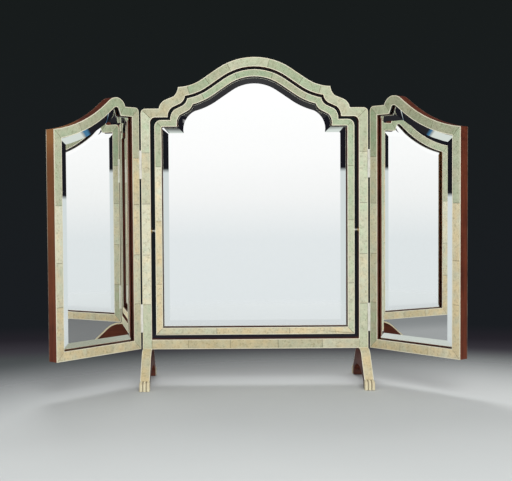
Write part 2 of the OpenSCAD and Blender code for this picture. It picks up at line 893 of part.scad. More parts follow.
// One member of a wing's frame, cut from its core by a flat region
module wing_member(region) {
  color(mahogany) difference() {
    intersection() {
      wing_core();
      upright(0, frame_depth) polygon(region);
    }
    hinge_zs() hinge_room();
    hinge_screw_bores();
    back_screw_holes(wing_screw_places, frame_depth);
  }
}

mitre = 3 * wing_face;
low = wing_clear;
hinge_stile_region = [[0, low], [mitre, low + mitre], [mitre, wing_cut], [0, wing_cut]];
outer_stile_region = [[wing_w, low], [wing_w, wing_outer_cut], [wing_w - mitre, wing_outer_cut],
                      [wing_w - mitre, low + mitre]];
bottom_rail_region = [[0, low], [wing_w, low], [wing_w - mitre, low + mitre], [mitre, low + mitre]];
crest_region = [[0, wing_cut], [2 * wing_face, wing_cut], [2 * wing_face, wing_outer_cut],
                [wing_w, wing_outer_cut], [wing_w, wing_top_h + 1], [0, wing_top_h + 1]];

wing_stile_joints = [0.193, 0.395, 0.602, 0.793] * wing_shoulder_h;
wing_outer_joints = [0.237, 0.427, 0.674] * wing_outer_h;
wing_rail_joints = [0.352, 0.663] * wing_w;
wing_crest_joints = [0.462, 0.704] * wing_w;
module wing_joints() {
  length = wing_face + 3;
  half = wing_face / 2;
  middle = concat([[0, wing_top_h]], slope(half, slope_steep, slope_at(half, wing_w), 12));
  for (z = wing_stile_joints) joint([half, z], 0, length);
  for (z = wing_outer_joints) joint([wing_w - half, z], 0, length);
  for (u = wing_rail_joints) joint([u, low + half], 90, length);
  joint([half, low + half], 45, 2 * length);
  joint([wing_w - half, low + half], -45, 2 * length);
  joint([half, wing_shoulder_h - half], -45, 2 * length);
  joint([wing_w - half, lookup(wing_w - half, middle)], 45, 2 * length);
  joint([wing_step_in + 4, wing_shoulder_h - 2], 128, 2 * length);
  curved_joints(wing_crest_joints, middle, length);
}

module wing_tiles() {
  color(shagreen) difference() {
    tiles() {
      wing_shape();
      wing_sight();
      wing_joints();
    }
    hinge_zs() hinge_room();
  }
}

module wing_outer_line() {
  color(bone) difference() {
    outer_line(frame_depth) wing_shape();
    hinge_zs() hinge_room();
  }
}

module wing_inner_line() {
  color(bone) inner_line() wing_sight();
}

module wing_glass() {
  color(silver) bevelled_glass(wing_glass_edge(glass_wing_in), wing_bevel_edge(bevel_wing_in));
}

wing_block_zs = [for (t = [0.33, 0.8]) t * wing_outer_cut];
wing_block_places = concat(
  [for (t = [0.33, 0.77]) [[t * wing_w, low + wing_face + block_gap], 0]],
  [for (z = wing_block_zs) [[wing_face + block_gap, z], -90]],
  [for (z = wing_block_zs) [[wing_w - wing_face - block_gap, z], 90]]);
module wing_blocks() {
  color(board_brown) glazing_blocks(wing_block_places, frame_depth);
}

module wing_board() {
  color(board_brown) difference() {
    upright(frame_depth - board_t, frame_depth) offset(delta = board_w - pocket_clear) wing_sight();
    back_screw_holes(wing_screw_places, frame_depth);
  }
}

module wing_back_screws() {
  color(brass) back_screws(wing_screw_places, frame_depth);
}

module wing_hinge_leaf() {
  color(silver) hinge_zs() hinge_leaf([1], hinge_pin_d + 2 * pin_run);
}

module wing_hinge_screws() {
  color(silver) hinge_screw_set();
}

module left_wing_hinge_stile() { on_wing(-1) wing_member(hinge_stile_region); }
module left_wing_outer_stile() { on_wing(-1) wing_member(outer_stile_region); }
module left_wing_bottom_rail() { on_wing(-1) wing_member(bottom_rail_region); }
module left_wing_crest_rail() { on_wing(-1) wing_member(crest_region); }
module left_wing_shagreen() { on_wing(-1) wing_tiles(); }
module left_wing_outer_stringing() { on_wing(-1) wing_outer_line(); }
module left_wing_inner_stringing() { on_wing(-1) wing_inner_line(); }
module left_wing_glass() { on_wing(-1) wing_glass(); }
module left_wing_glazing_blocks() { on_wing(-1) wing_blocks(); }
module left_wing_backboard() { on_wing(-1) wing_board(); }
module left_wing_back_screws() { on_wing(-1) wing_back_screws(); }
module left_wing_hinge_leaves() { on_wing(-1) wing_hinge_leaf(); }
module left_wing_hinge_screws() { on_wing(-1) wing_hinge_screws(); }

module right_wing_hinge_stile() { on_wing(1) wing_member(hinge_stile_region); }
module right_wing_outer_stile() { on_wing(1) wing_member(outer_stile_region); }
module right_wing_bottom_rail() { on_wing(1) wing_member(bottom_rail_region); }
module right_wing_crest_rail() { on_wing(1) wing_member(crest_region); }
module right_wing_shagreen() { on_wing(1) wing_tiles(); }
module right_wing_outer_stringing() { on_wing(1) wing_outer_line(); }
module right_wing_inner_stringing() { on_wing(1) wing_inner_line(); }
module right_wing_glass() { on_wing(1) wing_glass(); }
module right_wing_glazing_blocks() { on_wing(1) wing_blocks(); }
module right_wing_backboard() { on_wing(1) wing_board(); }
module right_wing_back_screws() { on_wing(1) wing_back_screws(); }
module right_wing_hinge_leaves() { on_wing(1) wing_hinge_leaf(); }
module right_wing_hinge_screws() { on_wing(1) wing_hinge_screws(); }

frame_left_stile();
frame_right_stile();
frame_bottom_rail();
frame_crest_rail();
frame_shagreen();
frame_outer_stringing();
frame_inner_stringing();
left_foot();
right_foot();
foot_shagreen();
foot_stringing();
foot_toes();
foot_screws();
pivot_bushes();
frame_hinge_leaves();
hinge_pins();
frame_hinge_screws();
swing_left_stile();
swing_right_stile();
swing_bottom_rail();
swing_crest_rail();
swing_shagreen();
swing_outer_stringing();
swing_inner_stringing();
swing_glass();
swing_glazing_blocks();
swing_backboard();
swing_back_screws();
pivot_pins();
left_wing_hinge_stile();
left_wing_outer_stile();
left_wing_bottom_rail();
left_wing_crest_rail();
left_wing_shagreen();
left_wing_outer_stringing();
left_wing_inner_stringing();
left_wing_glass();
left_wing_glazing_blocks();
left_wing_backboard();
left_wing_back_screws();
left_wing_hinge_leaves();
left_wing_hinge_screws();
right_wing_hinge_stile();
right_wing_outer_stile();
right_wing_bottom_rail();
right_wing_crest_rail();
right_wing_shagreen();
right_wing_outer_stringing();
right_wing_inner_stringing();
right_wing_glass();
right_wing_glazing_blocks();
right_wing_backboard();
right_wing_back_screws();
right_wing_hinge_leaves();
right_wing_hinge_screws();
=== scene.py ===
# %% [markdown]
# # A dressing-table mirror in three leaves
# The CAD model already holds every solid at its true size: mahogany cores, shagreen tiles,
# bone lines, bevelled glass, hinges and feet. Here we dress it. We pick up the solids, finish
# the ones that need softer edges, model the small turned and carved pieces that a CAD block
# only hints at, and give each surface a material with its own grain.

# %% Load the frame
import math
import random

import bpy
from mathutils import Matrix, Vector
from mathutils.kdtree import KDTree


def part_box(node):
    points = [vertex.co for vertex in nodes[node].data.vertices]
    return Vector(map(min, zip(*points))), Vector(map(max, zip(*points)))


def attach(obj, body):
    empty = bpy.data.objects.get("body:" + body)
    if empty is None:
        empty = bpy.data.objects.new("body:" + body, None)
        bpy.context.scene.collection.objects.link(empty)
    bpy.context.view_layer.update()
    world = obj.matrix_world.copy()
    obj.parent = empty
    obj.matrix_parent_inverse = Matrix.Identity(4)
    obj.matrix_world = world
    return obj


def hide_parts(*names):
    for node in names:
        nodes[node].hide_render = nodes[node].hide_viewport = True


def rounded(corner):
    """Numbers cut to four places, to be printed."""
    return tuple(round(v, 4) for v in corner)


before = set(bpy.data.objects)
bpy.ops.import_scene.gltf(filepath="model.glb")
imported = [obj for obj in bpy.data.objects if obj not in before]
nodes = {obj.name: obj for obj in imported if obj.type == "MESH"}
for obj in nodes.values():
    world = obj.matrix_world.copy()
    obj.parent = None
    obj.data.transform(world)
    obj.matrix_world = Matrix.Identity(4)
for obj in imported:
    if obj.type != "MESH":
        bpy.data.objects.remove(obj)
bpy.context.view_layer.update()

# %% [markdown]
# ## The camera
# A longer lens flattens the frame, as in the photograph, so the camera stands almost two
# metres away and a little left of the middle. It looks down by a little over two degrees and
# leans by less than half a degree. The small shift slides the picture sideways without turning
# the camera, which keeps the level lines of the centre frame parallel.

# %% Camera
quarter = math.radians(90)
camera_place = (-0.0552, -1.8521, 0.3357)
look_down = math.radians(2.36)
lean = math.radians(-0.4)
camera = bpy.data.objects.new("camera", bpy.data.cameras.new("camera"))
bpy.context.scene.collection.objects.link(camera)
camera.data.lens = 73.24
camera.data.sensor_width = 36
camera.data.shift_x = 0.0617
camera.matrix_world = (Matrix.Translation(camera_place)
                       @ Matrix.Rotation(quarter - look_down, 4, "X")
                       @ Matrix.Rotation(lean, 4, "Z"))
bpy.context.scene.camera = camera
bpy.context.scene.view_settings.view_transform = "Standard"
print("camera at", rounded(camera.matrix_world.translation))

# %% [markdown]
# ## Helpers for node trees
# A material is a small graph. These helpers add a node, set its sockets or link them, and
# keep each later cell short. A value that is a socket is linked, anything else is written on
# the socket itself.

# %% Node helpers
def put(tree, kind, sockets=(), **settings):
    """Add a shader node of a kind, apply its settings, and link or write its sockets."""
    node = tree.nodes.new("ShaderNode" + kind)
    for key, value in settings.items():
        setattr(node, key, value)
    for key, value in dict(sockets).items():
        if isinstance(value, bpy.types.NodeSocket):
            tree.links.new(value, node.inputs[key])
        else:
            node.inputs[key].default_value = value
    return node


def maths(tree, operation, a, b=0.0, c=0.0, clamp=False):
    node = put(tree, "Math", {0: a, 1: b, 2: c}, operation=operation, use_clamp=clamp)
    return node.outputs[0]


def vectors(tree, operation, a, b=(0.0, 0.0, 0.0), c=(0.0, 0.0, 0.0)):
    return put(tree, "VectorMath", {0: a, 1: b, 2: c}, operation=operation).outputs[0]


def mixed(tree, factor, a, b, blend="MIX"):
    """Mix two colours, which are sockets 6 and 7 of the node, with the result in output 2."""
    sockets = {0: factor, 6: a, 7: b}
    return put(tree, "Mix", sockets, data_type="RGBA", blend_type=blend).outputs[2]


def noise(tree, place, scale, detail, roughness=0.5):
    sockets = {"Vector": place, "Scale": scale, "Detail": detail, "Roughness": roughness}
    return put(tree, "TexNoise", sockets).outputs[0]


def ramped(tree, factor, stops):
    """A colour ramp by stops of (place, colour)."""
    node = put(tree, "ValToRGB", {0: factor})
    elements = node.color_ramp.elements
    while len(elements) < len(stops):
        elements.new(1.0)
    for element, (place, colour) in zip(elements, stops):
        element.position = place
        element.color = colour
    return node.outputs[0]

# %% [markdown]
# Colours are written as the eye reads them, from 0 to 255, and turned into the linear numbers
# that a socket wants. A material starts empty, reads its place on the piece or a mark on the
# mesh, and ends in an output.

# %% Colour and material helpers
def srgb(red, green, blue):
    parts = [v / 255 for v in (red, green, blue)]
    linear = [v / 12.92 if v <= 0.04045 else ((v + 0.055) / 1.055) ** 2.4 for v in parts]
    return tuple(linear) + (1.0,)


def grey(value):
    return (value, value, value, 1.0)


def new_material(name):
    material = bpy.data.materials.new(name)
    material.use_nodes = True
    material.node_tree.nodes.clear()
    return material, material.node_tree


def place_on(tree):
    return put(tree, "TexCoord").outputs["Object"]


def mark_on(tree, name):
    """The value of a named attribute of the mesh, or 0 where it has none."""
    return put(tree, "Attribute", attribute_name=name).outputs["Fac"]


def surfaced(tree, shader):
    put(tree, "OutputMaterial", {0: shader.outputs[0]})


print("colour helper: middle grey is", rounded(srgb(119, 119, 119)))

# %% [markdown]
# ## The studio
# A mirror is only as good as what it shows. The light on the object is a plain, even world
# and two large soft lamps. What polished surfaces see is a second world, chosen with Light
# Path: a white card straight ahead, a pale window above it and two narrow ones far out to the
# sides, a floor that stays pale in front and falls into shade at the sides, and a dim room over
# it all. The flat glass looks at the card and shows white. A bevel leans nine degrees out, so it
# looks past the card into the dark room, and only in a few places does it catch a window. The
# camera sees a third world, a plain dark backdrop, against which pale bone and white glass
# stand out. All of it follows from the direction of a ray: how far it turns to the side from
# straight ahead, in degrees, and how high it points.

# %% Directions
world = bpy.data.worlds.new("studio")
bpy.context.scene.world = world
world.use_nodes = True
sky = world.node_tree
sky.nodes.clear()
direction = put(sky, "SeparateXYZ", {0: put(sky, "TexCoord").outputs["Generated"]})
east, north, height = direction.outputs
south = maths(sky, "MULTIPLY", north, -1.0)
turn = maths(sky, "MULTIPLY", maths(sky, "ARCTAN2", east, south), math.degrees(1))
print("a direction gives", [socket.name for socket in direction.outputs])

# %% [markdown]
# Each card or window is a patch of directions, the product of one mask in turn and one in
# height. The glass in the two outer leaves looks far to the side, and the windows there have a
# thin blue edge, as daylight has round a blind.

# %% Cards and windows
crisp = 0.004
to_straight_down = 0.01


def between(value, low, high, soft):
    """1 where value lies from low to high, falling to 0 over the width soft."""
    above = maths(sky, "DIVIDE", maths(sky, "SUBTRACT", value, low), soft, clamp=True)
    below = maths(sky, "DIVIDE", maths(sky, "SUBTRACT", high, value), soft, clamp=True)
    return maths(sky, "MULTIPLY", above, below)


def card(left, right, top, low=-90, soft=0.4):
    """A card between two turns from straight ahead, and between two heights, all in degrees."""
    foot = math.sin(math.radians(low)) - to_straight_down
    upright = between(height, foot, math.sin(math.radians(top)), crisp)
    return maths(sky, "MULTIPLY", between(turn, left, right, soft), upright)


def any_of(*masks):
    whole = masks[0]
    for mask in masks[1:]:
        whole = maths(sky, "MAXIMUM", whole, mask)
    return whole


cards = any_of(card(-18, 16, 13), card(-12.5, 10, 18.9))
windows = any_of(card(-5, 8, 23.75, 20), card(87.1, 92.5, 23, 15), card(-90.5, -83.9, 23, 15))
cool_edges = any_of(card(86.5, 87.4, 23, 15, 0.3), card(-84.2, -83.6, 23, 15, 0.3))
print("cards and windows:", len(sky.nodes), "nodes")

# %% [markdown]
# Below the horizon the glass sees a floor. It is pale ahead, and at each side it goes from
# shade near the horizon to a paler tone further down. The card has a tone of its own, which
# falls from white at the top to a cool grey at the bottom. That gives the long soft gradient
# of the photograph's glass.

# %% What glass sees
ahead_only = between(turn, -60, 60, 1.0)
pale_floor = between(turn, -79, 79, 2.0)
right_side = between(turn, 0, 181, 1.0)
line_aside, line_rise_ahead = 0.003, 0.025
floor_line = maths(sky, "MULTIPLY_ADD", ahead_only, line_rise_ahead, line_aside)
below_line = maths(sky, "DIVIDE", maths(sky, "SUBTRACT", floor_line, height), crisp, clamp=True)
low_room = maths(sky, "MULTIPLY", below_line, between(turn, -130, 130, 8.0))
downward = maths(sky, "MULTIPLY", height, -2.0)
floor_left = ramped(sky, downward, [(0.40, srgb(134, 138, 139)), (0.75, srgb(212, 220, 212))])
floor_right = ramped(sky, downward, [
    (0.23, srgb(28, 30, 34)), (0.40, srgb(96, 100, 102)), (0.75, srgb(158, 162, 138))])
floor_ahead = ramped(sky, downward, [(0.30, srgb(212, 220, 220)), (0.75, srgb(226, 229, 227))])
floor_aside = mixed(sky, right_side, floor_left, floor_right)
floor_tone = mixed(sky, pale_floor, floor_aside, floor_ahead)
card_tone = ramped(sky, maths(sky, "MULTIPLY_ADD", height, 2.5, 0.5), [
    (0.20, srgb(225, 231, 233)), (0.40, srgb(229, 234, 236)), (0.50, srgb(246, 247, 247)),
    (0.60, grey(1.0)), (0.75, grey(1.04))])
seen_by_gloss = ramped(sky, height, [
    (0.26, (0.010, 0.010, 0.014, 1.0)), (0.42, (0.045, 0.045, 0.047, 1.0))])
for mask, tone in ((cool_edges, srgb(70, 122, 158)), (windows, srgb(214, 222, 216)),
                   (low_room, floor_tone), (cards, card_tone)):
    seen_by_gloss = mixed(sky, mask, seen_by_gloss, tone)
print("with floor and tones:", len(sky.nodes), "nodes")

# %% [markdown]
# The backdrop is nearly black, and below the horizon it lightens in a short band, where the
# floor melts into it. Light Path then hands each kind of ray its own world.

# %% Three worlds in one
backdrop = ramped(sky, maths(sky, "MULTIPLY_ADD", height, 2.0, 0.5), [
    (0.15, srgb(90, 94, 97)), (0.198, srgb(73, 77, 78)), (0.213, srgb(58, 56, 62)),
    (0.235, srgb(37, 35, 41)), (0.26, srgb(26, 29, 33)), (0.85, srgb(24, 28, 28))])
path = put(sky, "LightPath").outputs
mirror_ray = maths(sky, "MAXIMUM", path["Is Glossy Ray"], path["Is Transmission Ray"])
even_light = put(sky, "Background", {"Color": grey(1.0), "Strength": 0.5}).outputs[0]
mirror_light = put(sky, "Background", {"Color": seen_by_gloss, "Strength": 1.0}).outputs[0]
camera_light = put(sky, "Background", {"Color": backdrop, "Strength": 1.0}).outputs[0]
unseen = put(sky, "MixShader", {0: mirror_ray, 1: even_light, 2: mirror_light}).outputs[0]
whole_sky = put(sky, "MixShader", {0: path["Is Camera Ray"], 1: unseen, 2: camera_light})
put(sky, "OutputWorld", {0: whole_sky.outputs[0]})
print("studio world:", len(sky.nodes), "nodes")

# %% [markdown]
# ## The lamps
# A round area lamp gives the soft, even shadows of a studio. A large one stands in front, above
# the camera. A smaller one hangs behind the mirror and only lifts the tops and the back edges.
# Neither may show in the glass, so both are hidden from glossy rays.

# %% Lamps
def softbox(name, place, aim, size, power):
    lamp = bpy.data.objects.new(name, bpy.data.lights.new(name, "AREA"))
    lamp.data.shape = "DISK"
    lamp.data.size = size
    lamp.data.energy = power
    lamp.location = place
    lamp.rotation_euler = (Vector(aim) - Vector(place)).to_track_quat("-Z", "Y").to_euler()
    lamp.visible_glossy = False
    bpy.context.scene.collection.objects.link(lamp)


softbox("front_softbox", place=(0.35, -2.4, 1.7), aim=(0, 0, 0.3), size=1.6, power=46)
softbox("top_softbox", place=(-0.35, 1.35, 1.9), aim=(0, 0, 0.2), size=0.9, power=20)

# %% [markdown]
# ## The floor
# The floor is a plain pale disc, a hair below the toes. Around the mirror it keeps the soft
# shadows. Further out it turns clear bit by bit, so that it melts into the backdrop and leaves
# no horizon. The glasses see only a part of it, or they would show the shade under the mirror
# too strongly.

# %% Floor
lit_middle = (0.16, -0.52, 0.0)
full_within, clear_beyond = 0.445, 1.045
hidden_in_glass = 0.7
below_toes = 0.0004

bpy.ops.object.select_all(action="DESELECT")
bpy.ops.mesh.primitive_circle_add(vertices=96, radius=3.2, fill_type="NGON",
                                  location=(0, 0, -below_toes))
floor = bpy.context.object
floor.name = "studio_floor"
bpy.ops.object.transform_apply(location=True)
floor_paint, tree = new_material("floor_paint")
spot = place_on(tree)
from_middle = vectors(tree, "SUBTRACT", spot, lit_middle)
reach = put(tree, "VectorMath", {0: from_middle}, operation="LENGTH").outputs["Value"]
fade = put(tree, "MapRange", {0: reach, 1: full_within, 2: clear_beyond, 3: 0.0, 4: 1.0},
           interpolation_type="SMOOTHSTEP").outputs[0]
glossy_ray = put(tree, "LightPath").outputs["Is Glossy Ray"]
fade = maths(tree, "MAXIMUM", fade, maths(tree, "MULTIPLY", glossy_ray, hidden_in_glass))
cloud = noise(tree, spot, 3.0, 3.0)
floor_colour = mixed(tree, cloud, srgb(203, 207, 207), srgb(211, 214, 213))
paint = put(tree, "BsdfPrincipled", {
    "Base Color": floor_colour, "Roughness": 0.75, "Specular IOR Level": 0.2})
clear = put(tree, "BsdfTransparent")
surfaced(tree, put(tree, "MixShader", {0: fade, 1: paint.outputs[0], 2: clear.outputs[0]}))
floor.data.materials.append(floor_paint)
print("floor:", rounded(floor.dimensions), "clear beyond", clear_beyond, "m")

# %% [markdown]
# ## Grain shared by the woods
# Mahogany shows long streaks, darker pores and slow patches of colour. A noise stretched along
# one axis gives streaks that run with the grain. The group takes coordinates whose Z axis is
# the grain, so one group serves stiles, rails and back boards.

# %% Wood grain group
def new_group(name, inputs, outputs):
    """A group with inputs (title, kind, default) and outputs (title, kind), and its two ends."""
    group = bpy.data.node_groups.new(name, "ShaderNodeTree")
    for title, kind, value in inputs:
        socket = group.interface.new_socket(
            title, in_out="INPUT", socket_type="NodeSocket" + kind)
        if value is not None:
            socket.default_value = value
    for title, kind in outputs:
        group.interface.new_socket(title, in_out="OUTPUT", socket_type="NodeSocket" + kind)
    given = group.nodes.new("NodeGroupInput").outputs
    return group, given, group.nodes.new("NodeGroupOutput").inputs


def give(group, result, **values):
    for key, value in values.items():
        group.links.new(value, result[key])


wood_grain, given, result = new_group(
    "wood_grain",
    [("Vector", "Vector", None), ("Pale", "Color", grey(0.3)), ("Dark", "Color", grey(0.1)),
     ("Pores", "Float", 0.5)],
    [("Color", "Color"), ("Height", "Float"), ("Roughness", "Float")])
streaked = vectors(wood_grain, "MULTIPLY", given["Vector"], (1.0, 1.0, 0.05))
wander = put(wood_grain, "TexNoise", {"Vector": given["Vector"], "Scale": 9.0, "Detail": 2.0})
bent = vectors(wood_grain, "MULTIPLY_ADD", wander.outputs[1], (0.012, 0.012, 0.012), streaked)
rings = noise(wood_grain, bent, 170.0, 5.0, 0.62)
patches = noise(wood_grain, given["Vector"], 14.0, 2.0)
ringed = maths(wood_grain, "MULTIPLY", rings, 0.6)
figured = maths(wood_grain, "MULTIPLY_ADD", patches, 0.5, ringed, clamp=True)
streak = ramped(wood_grain, figured, [(0.36, grey(0.0)), (0.70, grey(1.0))])
figure = mixed(wood_grain, streak, given["Dark"], given["Pale"])
fine = vectors(wood_grain, "MULTIPLY", given["Vector"], (1.0, 1.0, 0.03))
pores = noise(wood_grain, fine, 1500.0, 2.0)
pore_mask = ramped(wood_grain, pores, [(0.30, grey(1.0)), (0.44, grey(0.0))])
pore_depth = maths(wood_grain, "MULTIPLY", pore_mask, given["Pores"])
give(wood_grain, result,
     Color=mixed(wood_grain, pore_depth, figure, (0.012, 0.004, 0.003, 1.0)),
     Height=maths(wood_grain, "MULTIPLY_ADD", pore_depth, -1.0, streak),
     Roughness=maths(wood_grain, "MULTIPLY_ADD", pore_depth, 0.3, 0.30))
print("wood grain:", len(wood_grain.nodes), "nodes")

# %% [markdown]
# ## Mahogany and back boards
# Each member of a frame was sawn along its own length, so each needs the grain in its own
# direction. A Mapping node turns the coordinates until their Z axis lies along the member. The
# outer leaves stand turned by fifty degrees, and their rails turn with them. The left leaf's
# outer stile turns a warm orange brown towards its top, and its rails towards their outer ends;
# a ramp along one axis says how far. An attribute on the mesh, "underside_shade", marks the
# faces of a crest rail that look down at the glass. They are painted near-black, a painted
# shade for the shade under the crest, and so they show dark in the glass too.

# %% Wood material
across_x, up_z = 0, 2
# The warm orange brown towards the top and outer ends of the left leaf.
orange_brown_wood = srgb(172, 121, 72)
# Near-black painted shade for the crest rails' faces that look down at the glass.
painted_underside_shade = (0.006, 0.005, 0.005, 1.0)


def share_along(tree, place, axis, scale, stops):
    """How far something has gone along an axis, by stops of (scaled place, share)."""
    measured = put(tree, "SeparateXYZ", {0: place}).outputs[axis]
    scaled = maths(tree, "MULTIPLY", measured, scale)
    return ramped(tree, scaled, [(at, grey(much)) for at, much in stops])


def wood(name, turned, pale, dark, pores=0.5, gloss=0.05, orange_share=None):
    material, tree = new_material(name)
    place = place_on(tree)
    along = put(tree, "Mapping", {"Vector": place, "Rotation": turned}).outputs[0]
    grain = put(tree, "Group", {"Vector": along, "Pale": pale, "Dark": dark, "Pores": pores},
                node_tree=wood_grain).outputs
    colour = grain["Color"]
    if orange_share:
        colour = mixed(tree, share_along(tree, place, *orange_share), colour, orange_brown_wood)
    # Painted shade, near-black, on the faces marked under a crest rail.
    colour = mixed(tree, mark_on(tree, "underside_shade"), colour, painted_underside_shade)
    bump = put(tree, "Bump", {"Strength": 0.12, "Distance": 0.0003, "Height": grain["Height"]})
    surfaced(tree, put(tree, "BsdfPrincipled", {
        "Base Color": colour, "Roughness": grain["Roughness"], "Normal": bump.outputs[0],
        "Specular IOR Level": 0.2, "Coat Weight": gloss, "Coat Roughness": 0.2}))
    return material

# %% Woods of the frames
wing_turn = math.radians(50)
rich = dict(pale=srgb(116, 58, 38), dark=srgb(70, 32, 24))
# How far the left leaf turns orange brown: up its outer stile, and out along its rails.
orange_up_the_stile = (up_z, 2.0, [(0.20, 0.0), (0.80, 0.35), (0.94, 1.0)])
orange_to_the_outer_ends = (across_x, -2.0, [(0.60, 0.0), (0.66, 0.7)])
mahogany_upright = wood("mahogany_upright", (0, 0, 0), **rich)
mahogany_orange_top = wood("mahogany_orange_top", (0, 0, 0), orange_share=orange_up_the_stile, **rich)
mahogany_across = wood("mahogany_across", (0, quarter, 0), **rich)
mahogany_left = wood("mahogany_left_leaf", (0, quarter, -wing_turn),
                     orange_share=orange_to_the_outer_ends, **rich)
mahogany_right = wood("mahogany_right_leaf", (0, quarter, wing_turn), **rich)
mahogany_foot = wood("mahogany_foot", (quarter, 0, 0), **rich)
back_board = wood("back_board", (0, 0, 0), srgb(128, 84, 54), srgb(92, 56, 36),
                  pores=0.35, gloss=0.1)
glazing_wood = wood("glazing_wood", (0, 0, 0), srgb(150, 108, 70), srgb(118, 80, 50),
                    pores=0.3, gloss=0.0)
print("woods:", [m.name for m in bpy.data.materials if "mahogany" in m.name])

# %% [markdown]
# ## Shagreen
# Shagreen is ray skin: a field of small hard beads, sanded flat and dyed. Seen closely, each
# bead is a pale disc in a darker net. From further away the eye sees the dye, which differs
# from tile to tile and drifts from sage green to cream. A Voronoi texture draws the beads.
# Three attributes on the mesh carry what belongs to a tile: how far it has turned from green
# to tan (tone), how light it is, by its dye and by painted shade (shade), and where its rim lies
# at a joint (rim).

# %% Shagreen dye
shagreen, tree = new_material("shagreen")
place = place_on(tree)
tone, shade, rim = (mark_on(tree, name) for name in ("tone", "shade", "rim"))
drift = noise(tree, place, 42.0, 4.0, 0.6)
mottle = noise(tree, place, 260.0, 3.0, 0.6)
cloudy = noise(tree, place, 95.0, 3.0)
dye = maths(tree, "MULTIPLY_ADD", maths(tree, "SUBTRACT", drift, 0.5), 1.2, tone, clamp=True)
dyed = ramped(tree, dye, [
    (0.0, srgb(190, 213, 181)), (0.30, srgb(201, 212, 182)), (0.55, srgb(211, 212, 186)),
    (0.78, srgb(219, 211, 180)), (1.0, srgb(229, 211, 170))])
spots = ramped(tree, mottle, [(0.30, srgb(176, 172, 140)), (0.48, grey(1.0))])
spotted = mixed(tree, 0.5, dyed, spots, "MULTIPLY")
# A tile's shade sets its lightness: its dye's depth, with painted shade in it.
level = maths(tree, "MULTIPLY_ADD", shade, 0.59, 0.65)
light = maths(tree, "MULTIPLY_ADD", maths(tree, "SUBTRACT", cloudy, 0.5), 0.35, level)
bluer_when_lighter = maths(tree, "MULTIPLY", light, maths(tree, "MULTIPLY_ADD", shade, 0.15, 0.885))
lightness = put(tree, "CombineColor", {0: light, 1: light, 2: bluer_when_lighter}).outputs[0]
shaded = mixed(tree, 1.0, spotted, lightness, "MULTIPLY")
print("shagreen dye:", len(tree.nodes), "nodes")

# %% [markdown]
# Over the dye come the beads in their net and the dark glue line of a joint. The beads also
# lift the surface a little, and the polish changes with the mottle.

# %% Shagreen beads
glue_share = 0.75
beads = put(tree, "TexVoronoi", {"Vector": place, "Scale": 950.0}, feature="F1")
bead_distance = beads.outputs["Distance"]
net = ramped(tree, bead_distance, [(0.35, grey(1.0)), (0.80, grey(0.80))])
beaded = mixed(tree, 0.7, shaded, net, "MULTIPLY")
jointed = mixed(tree, maths(tree, "MULTIPLY", rim, glue_share), beaded, srgb(104, 90, 60))
relief = maths(tree, "MULTIPLY_ADD", bead_distance, -1.0, maths(tree, "MULTIPLY", mottle, 0.3))
bump = put(tree, "Bump", {"Strength": 0.35, "Distance": 0.0002, "Height": relief})
polish = maths(tree, "MULTIPLY_ADD", mottle, 0.25, 0.34)
surfaced(tree, put(tree, "BsdfPrincipled", {
    "Base Color": jointed, "Roughness": polish, "Normal": bump.outputs[0], "Coat Weight": 0.12,
    "Coat Roughness": 0.25}))
print("shagreen:", len(tree.nodes), "nodes")

# %% [markdown]
# ## Bone
# The thin lines between wood and skin, and the four toes, are bone: creamy, clouded with a
# little ochre, with fine brown pores. The lines round the back edges are brown with grime,
# painted shade and old polish. Only near the top of the left leaf is that line pale, a painted
# highlight where the edge catches the light, with painted shade again below it. The toes hold
# dirt and painted shade where two reeds meet, which an attribute on their mesh, "groove", tells.

# %% Bone material
bone_streaks, given, result = new_group(
    "bone_streaks",
    [("Vector", "Vector", None), ("Cream", "Color", grey(0.8)), ("Ochre", "Color", grey(0.6))],
    [("Color", "Color"), ("Height", "Float")])
slow = noise(bone_streaks, given["Vector"], 55.0, 4.0)
specks = noise(bone_streaks, given["Vector"], 900.0, 2.0)
turned_ochre = ramped(bone_streaks, slow, [(0.35, grey(0.0)), (0.7, grey(1.0))])
toned = mixed(bone_streaks, turned_ochre, given["Cream"], given["Ochre"])
speck_mask = ramped(bone_streaks, specks, [(0.28, grey(0.5)), (0.36, grey(0.0))])
give(bone_streaks, result,
     Color=mixed(bone_streaks, speck_mask, toned, srgb(120, 92, 56)),
     Height=maths(bone_streaks, "MULTIPLY", speck_mask, -1.0))
# Grime and painted shade: on the back lines, and between the reeds of a toe.
grime_and_shade = srgb(84, 52, 36)
groove_share = 0.7


def bone(name, cream, ochre, roughness, browned=None, grooved=False):
    material, tree = new_material(name)
    place = place_on(tree)
    streaks = put(tree, "Group", {"Vector": place, "Cream": cream, "Ochre": ochre},
                  node_tree=bone_streaks).outputs
    colour = streaks["Color"]
    # Grime and painted shade, by height and in patches.
    if browned:
        patchy = noise(tree, place, 70.0, 3.0)
        patchy = maths(tree, "MULTIPLY_ADD", patchy, 0.5, 0.65, clamp=True)
        much = maths(tree, "MULTIPLY", share_along(tree, place, *browned), patchy)
        colour = mixed(tree, much, colour, grime_and_shade)
    # Dirt and painted shade where two reeds of a toe meet.
    if grooved:
        much = maths(tree, "MULTIPLY", mark_on(tree, "groove"), groove_share)
        colour = mixed(tree, much, colour, grime_and_shade)
    bump = put(tree, "Bump", {"Strength": 0.2, "Distance": 0.0001, "Height": streaks["Height"]})
    surfaced(tree, put(tree, "BsdfPrincipled", {
        "Base Color": colour, "Roughness": roughness, "Normal": bump.outputs[0],
        "Coat Weight": 0.1, "Coat Roughness": 0.2}))
    return material

# %% Bones of the frames and feet
pale_bone = dict(cream=srgb(243, 239, 216), ochre=srgb(230, 221, 190))
